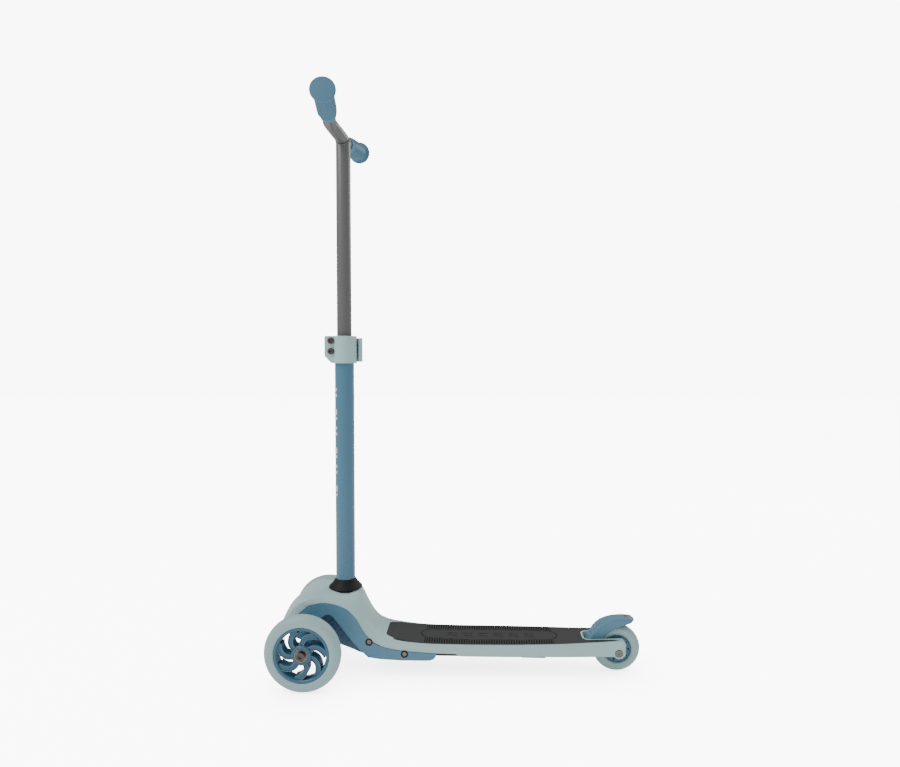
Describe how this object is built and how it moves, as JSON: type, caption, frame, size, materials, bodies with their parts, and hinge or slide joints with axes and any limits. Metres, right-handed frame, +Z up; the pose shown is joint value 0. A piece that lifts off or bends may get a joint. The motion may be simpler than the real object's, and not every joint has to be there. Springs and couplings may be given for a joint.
{
  "type": "three-wheel kick scooter",
  "caption": "Child's lean-to-steer kick scooter: low deck on two steered front wheels and one rear wheel, clamped telescopic T-bar, fender brake.",
  "frame": {"origin": "On the floor, under the middle of the overall box", "axes": "+X forward, +Y to the rider's left, +Z up the stem"},
  "size_m": [0.62, 0.3212, 0.9501],
  "materials": {
    "pale_plastic": "pale grey-green moulded plastic, satin",
    "blue_plastic": "dusty blue moulded plastic, satin",
    "black_plastic": "black moulded plastic",
    "mat_rubber": "dark grey moulded rubber with ribs",
    "boot_rubber": "black soft rubber",
    "steel": "plated steel",
    "tyre_urethane": "pale grey-green urethane, smooth",
    "blue_paint": "dusty blue powder coat",
    "grey_paint": "mid grey powder coat",
    "grip_rubber": "dusty blue soft rubber with ribs"
  },
  "bodies": {
    "deck": {"deck_shell": "pale_plastic", "lower_housing": "blue_plastic", "deck_underplate": "black_plastic", "deck_mat": "mat_rubber", "stem_boot": "boot_rubber", "front_side_screw_left": "steel", "front_side_screw_right": "steel", "rear_side_screw_left": "steel", "rear_side_screw_right": "steel", "front_plate_screw_left": "steel", "front_plate_screw_right": "steel", "rear_plate_screw_left": "steel", "rear_plate_screw_right": "steel", "lean_pin": "steel", "centring_spring_left": "steel", "centring_spring_right": "steel", "kingpin_left": "steel", "kingpin_right": "steel", "rear_axle_bolt": "steel", "rear_axle_nut": "steel", "rear_spacer_left": "steel", "rear_spacer_right": "steel", "brake_pin": "steel", "brake_spring": "steel"},
    "stem": {"stem_foot": "black_plastic", "stem_bolt": "steel", "lower_tube": "blue_paint", "tube_bush": "black_plastic", "clamp_collar": "pale_plastic", "upper_clamp_bolt": "steel", "lower_clamp_bolt": "steel", "lever_pin": "steel"},
    "clamp_lever": {"clamp_lever": "pale_plastic"},
    "handlebar": {"handlebar": "grey_paint", "handlebar_foot": "black_plastic", "grip_left": "grip_rubber", "grip_right": "grip_rubber"},
    "snap_button": {"snap_button": "steel"},
    "tie_rod": {"tie_rod": "black_plastic"},
    "left_knuckle": {"steering_knuckle_left": "blue_plastic", "front_axle_bolt_left": "steel"},
    "right_knuckle": {"steering_knuckle_right": "blue_plastic", "front_axle_bolt_right": "steel"},
    "front_left_wheel": {"front_tyre_left": "tyre_urethane", "front_wheel_core_left": "blue_plastic", "front_inner_bearing_left": "steel", "front_outer_bearing_left": "steel"},
    "front_right_wheel": {"front_tyre_right": "tyre_urethane", "front_wheel_core_right": "blue_plastic", "front_inner_bearing_right": "steel", "front_outer_bearing_right": "steel"},
    "rear_wheel": {"rear_tyre": "tyre_urethane", "rear_wheel_core": "blue_plastic", "rear_bearing_left": "steel", "rear_bearing_right": "steel"},
    "brake": {"brake_fender": "blue_plastic", "brake_pad": "steel", "brake_rivet": "steel"}
  },
  "joints": [
    {"name": "stem_lean", "type": "hinge", "parent": "deck", "child": "stem", "pos_m": [0.197, 0, 0.095], "axis": [1, 0, 0], "range_deg": [-12, 12], "stiffness_Nm_per_rad": 40, "deforming": ["stem_boot", "centring_spring_left", "centring_spring_right"]},
    {"name": "tie_rod_slide", "type": "slide", "parent": "deck", "child": "tie_rod", "axis": [0, 1, 0], "range_m": [-0.0061, 0.0061]},
    {"name": "left_steer", "type": "hinge", "parent": "deck", "child": "left_knuckle", "pos_m": [0.2475, 0.07, 0.0625], "axis": [0, 0, 1], "range_deg": [-14.4, 14.4]},
    {"name": "right_steer", "type": "hinge", "parent": "deck", "child": "right_knuckle", "pos_m": [0.2475, -0.07, 0.0625], "axis": [0, 0, 1], "range_deg": [-14.4, 14.4]},
    {"name": "front_left_spin", "type": "hinge", "parent": "left_knuckle", "child": "front_left_wheel", "pos_m": [0.2475, 0.1, 0.0625], "axis": [0, 1, 0], "continuous": true},
    {"name": "front_right_spin", "type": "hinge", "parent": "right_knuckle", "child": "front_right_wheel", "pos_m": [0.2475, -0.1, 0.0625], "axis": [0, 1, 0], "continuous": true},
    {"name": "rear_spin", "type": "hinge", "parent": "deck", "child": "rear_wheel", "pos_m": [-0.27, 0, 0.04], "axis": [0, 1, 0], "continuous": true},
    {"name": "brake_press", "type": "hinge", "parent": "deck", "child": "brake", "pos_m": [-0.224, 0, 0.05], "axis": [0, -1, 0], "range_deg": [0, 2.5], "stiffness_Nm_per_rad": 2, "springref_deg": -3.44},
    {"name": "handlebar_height", "type": "slide", "parent": "stem", "child": "handlebar", "axis": [0, 0, 1], "range_m": [-0.156, 0]},
    {"name": "snap_button_press", "type": "slide", "parent": "handlebar", "child": "snap_button", "axis": [1, 0, 0], "range_m": [0, 0.002], "stiffness_N_per_m": 400, "springref_m": -0.001},
    {"name": "clamp_lever_open", "type": "hinge", "parent": "stem", "child": "clamp_lever", "pos_m": [0.217, -0.0218, 0.5493], "axis": [0, 0, 1], "range_deg": [0, 120]}
  ],
  "couplings": [
    {"joint": "tie_rod_slide", "follows": "stem_lean", "m_per_rad": 0.0285},
    {"joint": "left_steer", "follows": "stem_lean", "ratio": -1.1875},
    {"joint": "right_steer", "follows": "stem_lean", "ratio": -1.1875}
  ]
}
